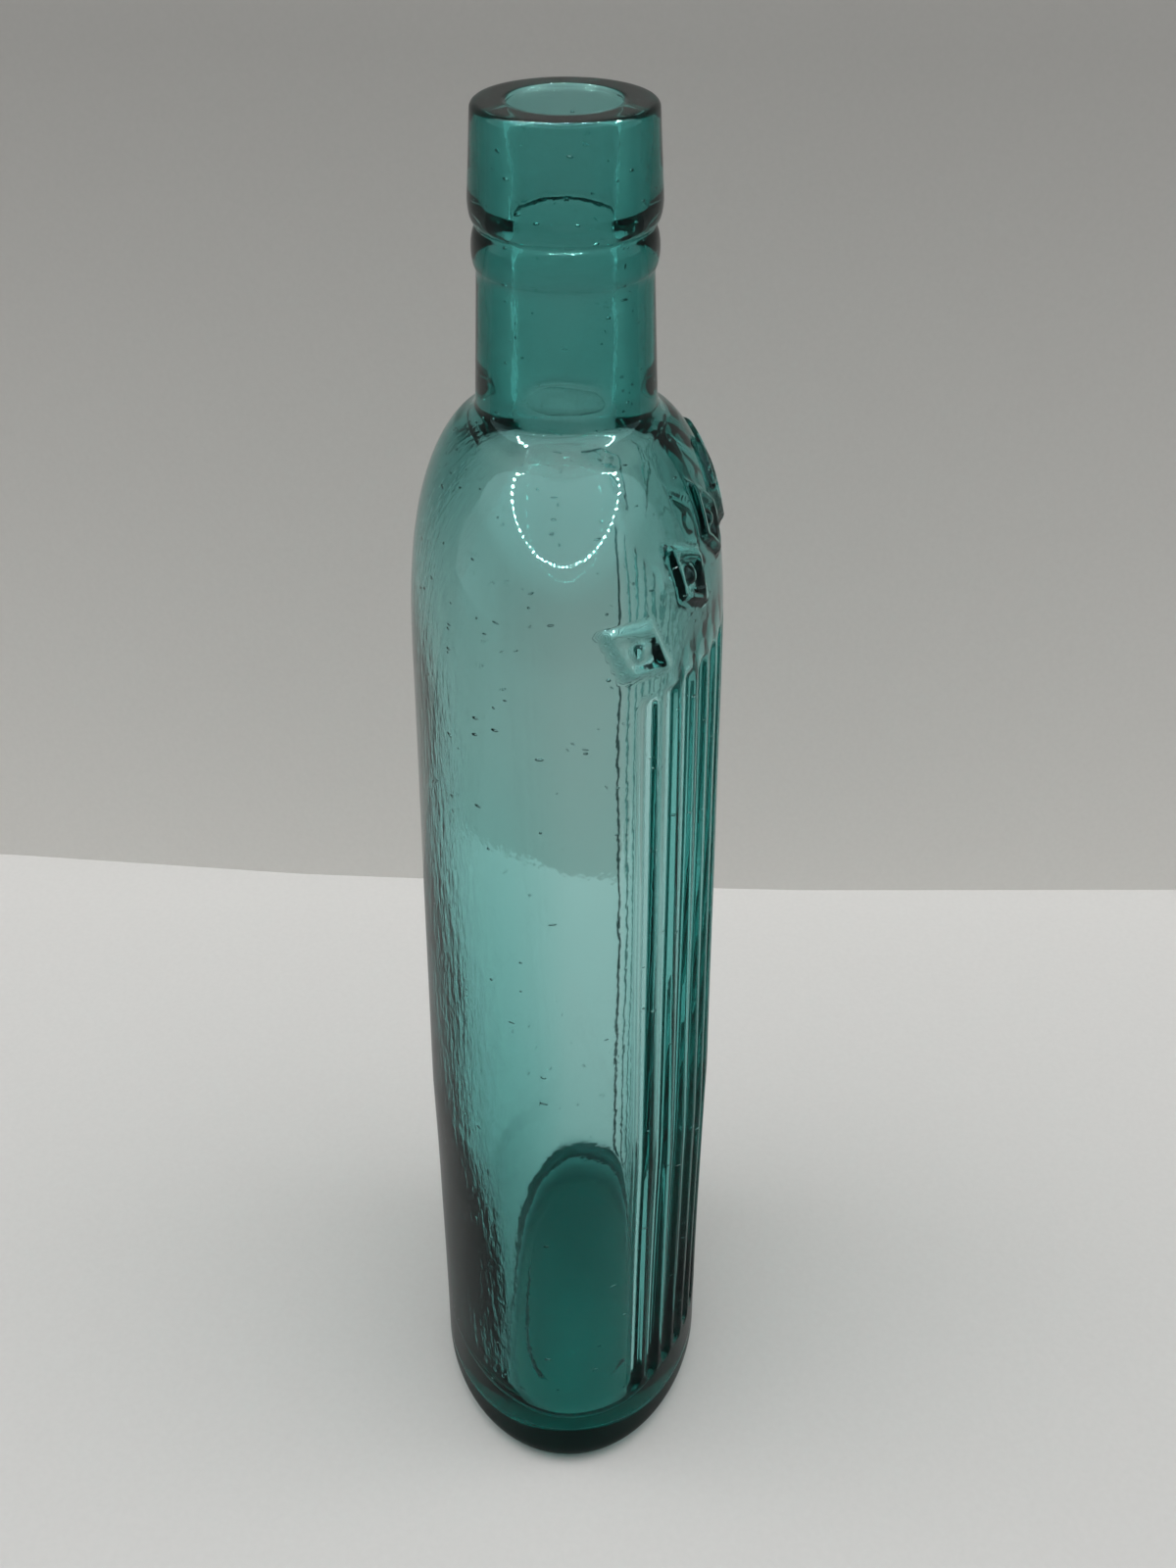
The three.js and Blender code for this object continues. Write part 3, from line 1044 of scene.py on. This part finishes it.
@dataclass
class PaperStage:
    """The pale floor under the bottle and the bent paper wall behind it."""

    floor_drop: float = 0.0003
    floor_reach: float = 3.0
    wall_foot: tuple[tuple[float, float], ...] = (
        (0.168, 0.7),
        (0.1486, 0.137),
        (0.1415, 0.067),
        (0.1377, -0.005),
        (0.1365, -0.05),
        (0.138, -0.135),
        (0.146, -0.7),
    )
    wall_height: float = 0.62
    # Floor paper with painted light: a ramp from 0.94 to 1.22 of its colour towards the wall, and
    # a painted pool of light 1.6 times paler under the bottle's base.
    floor_finish: PaperFinish = PaperFinish(
        "pale_floor_paper",
        (0.59, 0.585, 0.575),
        painted_light_axis="X",
        painted_light_span=(-0.08, 0.13),
        painted_light_gain=(0.94, 1.22),
        painted_pool_half=(0.031, 0.0185),
    )
    # Wall paper with painted light from the floor: 1.8 times as bright at its foot, fading out by
    # 0.19 m up, and its reflections in the glass painted a little dimmer.
    wall_finish: PaperFinish = PaperFinish(
        "grey_wall_paper",
        (0.414, 0.407, 0.392),
        one_sided=True,
        painted_light_gain=(1.8, 1.0),
        painted_reflection_dim=0.8,
    )

    def build(self) -> list[bpy.types.Object]:
        """Makes the floor and the wall.

        Returns:
            The floor and the wall.
        """
        reach, low = self.floor_reach, -self.floor_drop
        turns = ((-1, -1), (1, -1), (1, 1), (-1, 1))
        corners = [(x * reach, y * reach, low) for x, y in turns]
        floor = self._sheet("floor", corners, [(0, 1, 2, 3)], self.floor_finish)
        edge = [(x, y, z) for x, y in self.wall_foot for z in (low, self.wall_height)]
        strips = [(i, i + 2, i + 3, i + 1) for i in range(0, len(edge) - 2, 2)]
        wall = self._sheet("back_wall", edge, strips, self.wall_finish)
        wall.data.shade_smooth()
        return [floor, wall]

    @staticmethod
    def _sheet(
        name: str,
        corners: list[tuple[float, float, float]],
        faces: list[tuple[int, ...]],
        finish: PaperFinish,
    ) -> bpy.types.Object:
        """Makes one sheet of paper.

        Args:
            name: The sheet's name.
            corners: Its points.
            faces: Its faces, anticlockwise from the side that is seen.
            finish: Its paper.

        Returns:
            The sheet.
        """
        mesh = bpy.data.meshes.new(name)
        mesh.from_pydata(corners, [], faces)
        mesh.materials.append(finish.material())
        sheet = bpy.data.objects.new(name, mesh)
        bpy.context.scene.collection.objects.link(sheet)
        return sheet


@dataclass
class StudioLight:
    """Soft light from all round and one broad lamp overhead."""

    sky: float = 1.05
    sky_colour: tuple[float, float, float] = (1.0, 0.995, 0.985)
    camera_side: float = 0.1
    camera_side_span: Span = (-0.7, 0.1)
    lamp_power: float = 30.0
    lamp_size: float = 2.6
    lamp_place: tuple[float, float, float] = (0.05, 0.0, 0.8)
    lamp_fade: Span = (0.25, 0.5)

    def build(self) -> None:
        """Sets the world and hangs the lamp."""
        world = bpy.data.worlds.new("soft_room")
        world.use_nodes = True
        back = world.node_tree.nodes["Background"]
        back.inputs["Color"].default_value = (*self.sky_colour, 1.0)
        nodes, links = world.node_tree.nodes, world.node_tree.links
        place = nodes.new("ShaderNodeTexCoord")
        split = nodes.new("ShaderNodeSeparateXYZ")
        links.new(place.outputs["Generated"], split.inputs["Vector"])
        level = ranged(nodes, self.camera_side_span, (self.camera_side, self.sky))
        links.new(split.outputs["X"], level.inputs["Value"])
        links.new(level.outputs["Result"], back.inputs["Strength"])
        bpy.context.scene.world = world
        data = bpy.data.lights.new("overhead_softbox", "AREA")
        data.shape = "SQUARE"
        data.size = self.lamp_size
        data.energy = self.lamp_power
        self._fade(data)
        lamp = bpy.data.objects.new("overhead_softbox", data)
        lamp.location = self.lamp_place
        bpy.context.scene.collection.objects.link(lamp)

    def _fade(self, data: bpy.types.AreaLight) -> None:
        """Lets the lamp's cloth fade from its middle towards its edge.

        Args:
            data: The lamp.
        """
        data.use_nodes = True
        nodes, links = data.node_tree.nodes, data.node_tree.links
        cloth = nodes.new("ShaderNodeNewGeometry")
        offset = worked(nodes, "ShaderNodeVectorMath", "SUBTRACT")
        offset.inputs[1].default_value = (0.5, 0.5, 0.0)
        links.new(cloth.outputs["Parametric"], offset.inputs[0])
        reach = worked(nodes, "ShaderNodeVectorMath", "LENGTH")
        links.new(offset.outputs["Vector"], reach.inputs[0])
        fade = ranged(nodes, self.lamp_fade, (1.0, 0.0))
        fade.interpolation_type = "SMOOTHSTEP"
        links.new(reach.outputs["Value"], fade.inputs["Value"])
        links.new(fade.outputs["Result"], nodes["Emission"].inputs["Strength"])


@dataclass
class RingLamp:
    """The level ring of small lamps overhead, seen only as dots of shine in the glass."""

    place: tuple[float, float, float] = (-0.065, 0.0, 0.34)
    radius: float = 0.127
    dots: int = 48
    dot_radius: float = 0.0037
    dot_corners: int = 8
    brightness: float = 300.0
    colour: tuple[float, float, float] = (1.0, 0.98, 0.92)

    def build(self) -> bpy.types.Object:
        """Makes the ring.

        Returns:
            The ring.
        """
        points, faces = [], []
        for dot in range(self.dots):
            turn = 2 * math.pi * dot / self.dots
            middle = Vector((math.cos(turn), math.sin(turn), 0.0)) * self.radius
            start = len(points)
            for corner in range(self.dot_corners):
                spin = 2 * math.pi * corner / self.dot_corners
                rim = Vector((math.cos(spin), math.sin(spin), 0.0)) * self.dot_radius
                points.append(middle + rim)
            faces.append(tuple(range(start, start + self.dot_corners)))
        mesh = bpy.data.meshes.new("ring_lamp")
        mesh.from_pydata(points, [], faces)
        glow = bpy.data.materials.new("lamp_glow")
        glow.use_nodes = True
        shader = glow.node_tree.nodes["Principled BSDF"]
        shader.inputs["Base Color"].default_value = (0.0, 0.0, 0.0, 1.0)
        shader.inputs["Emission Color"].default_value = (*self.colour, 1.0)
        shader.inputs["Emission Strength"].default_value = self.brightness
        mesh.materials.append(glow)
        ring = bpy.data.objects.new("ring_lamp", mesh)
        ring.location = self.place
        ring.visible_camera = False
        ring.visible_diffuse = False
        ring.visible_shadow = False
        bpy.context.scene.collection.objects.link(ring)
        return ring


@dataclass
class PhotoCamera:
    """The camera at the photograph's angle."""

    place: tuple[float, float, float] = (-0.28463, -0.00756, 0.28556)
    down: float = math.radians(31.42)
    turn: float = math.radians(0.921)
    lens: float = 49.95
    sensor: float = 36.0

    def build(self) -> bpy.types.Object:
        """Makes the camera and gives it to the scene.

        Returns:
            The camera.
        """
        data = bpy.data.cameras.new("photo_camera")
        data.lens = self.lens
        data.sensor_width = self.sensor
        data.clip_start, data.clip_end = 0.01, 50.0
        camera = bpy.data.objects.new("photo_camera", data)
        level, drop = math.cos(self.down), math.sin(self.down)
        aim = Vector((math.cos(self.turn) * level, math.sin(self.turn) * level, -drop))
        turn = aim.to_track_quat("-Z", "Y").to_matrix().to_4x4()
        camera.matrix_world = Matrix.Translation(self.place) @ turn
        bpy.context.scene.collection.objects.link(camera)
        bpy.context.scene.camera = camera
        return camera


def main() -> None:
    """Builds the bottle from the two parts' boxes, with its stage, its light and its camera."""
    logging.basicConfig(level=logging.INFO, format="%(name)s: %(message)s")
    scene = bpy.context.scene
    scene.view_settings.view_transform = "Standard"
    scene.cycles.max_bounces = LIGHT_BOUNCES
    scene.cycles.transmission_bounces = LIGHT_BOUNCES
    _, body_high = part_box("blown_body")
    lip_low, lip_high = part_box("applied_lip")
    body = BlownBody(half_width=body_high.x / MM, half_depth=body_high.y / MM)
    seat = Ring(body.neck_top_radius, body.neck_top_radius, lip_low.z / MM)
    bottle = BottleGlass(
        body=body,
        lip=AppliedLip(seat=seat, rim_z=lip_high.z / MM),
        flutes=FlutedFront(),
        frieze=ShoulderFrieze(),
        outer_skin=HandBlownSkin(22.0, 0.06, 5.0, 0.006, 1.0, 3.7),
        inner_skin=HandBlownSkin(34.0, 0.16, 5.0, 0.01, 2.0, 9.1),
        throat_skin=HandBlownSkin(7.0, 0.24, 2.6, 0.08, 0.4, 5.3),
        seeds=SeedBubbles(),
        finish=AquaGlass(),
    )
    piece = bottle.build()
    triangles = sum(len(face.vertices) - 2 for face in piece.data.polygons)
    LOG.info("%s: %d triangles", piece.name, triangles)
    for sheet in PaperStage().build():
        LOG.info("%s laid", sheet.name)
    StudioLight().build()
    camera = PhotoCamera().build()
    LOG.info("%s set", camera.name)
    LOG.info("%s set", RingLamp().build().name)


if __name__ == "__main__":
    main()
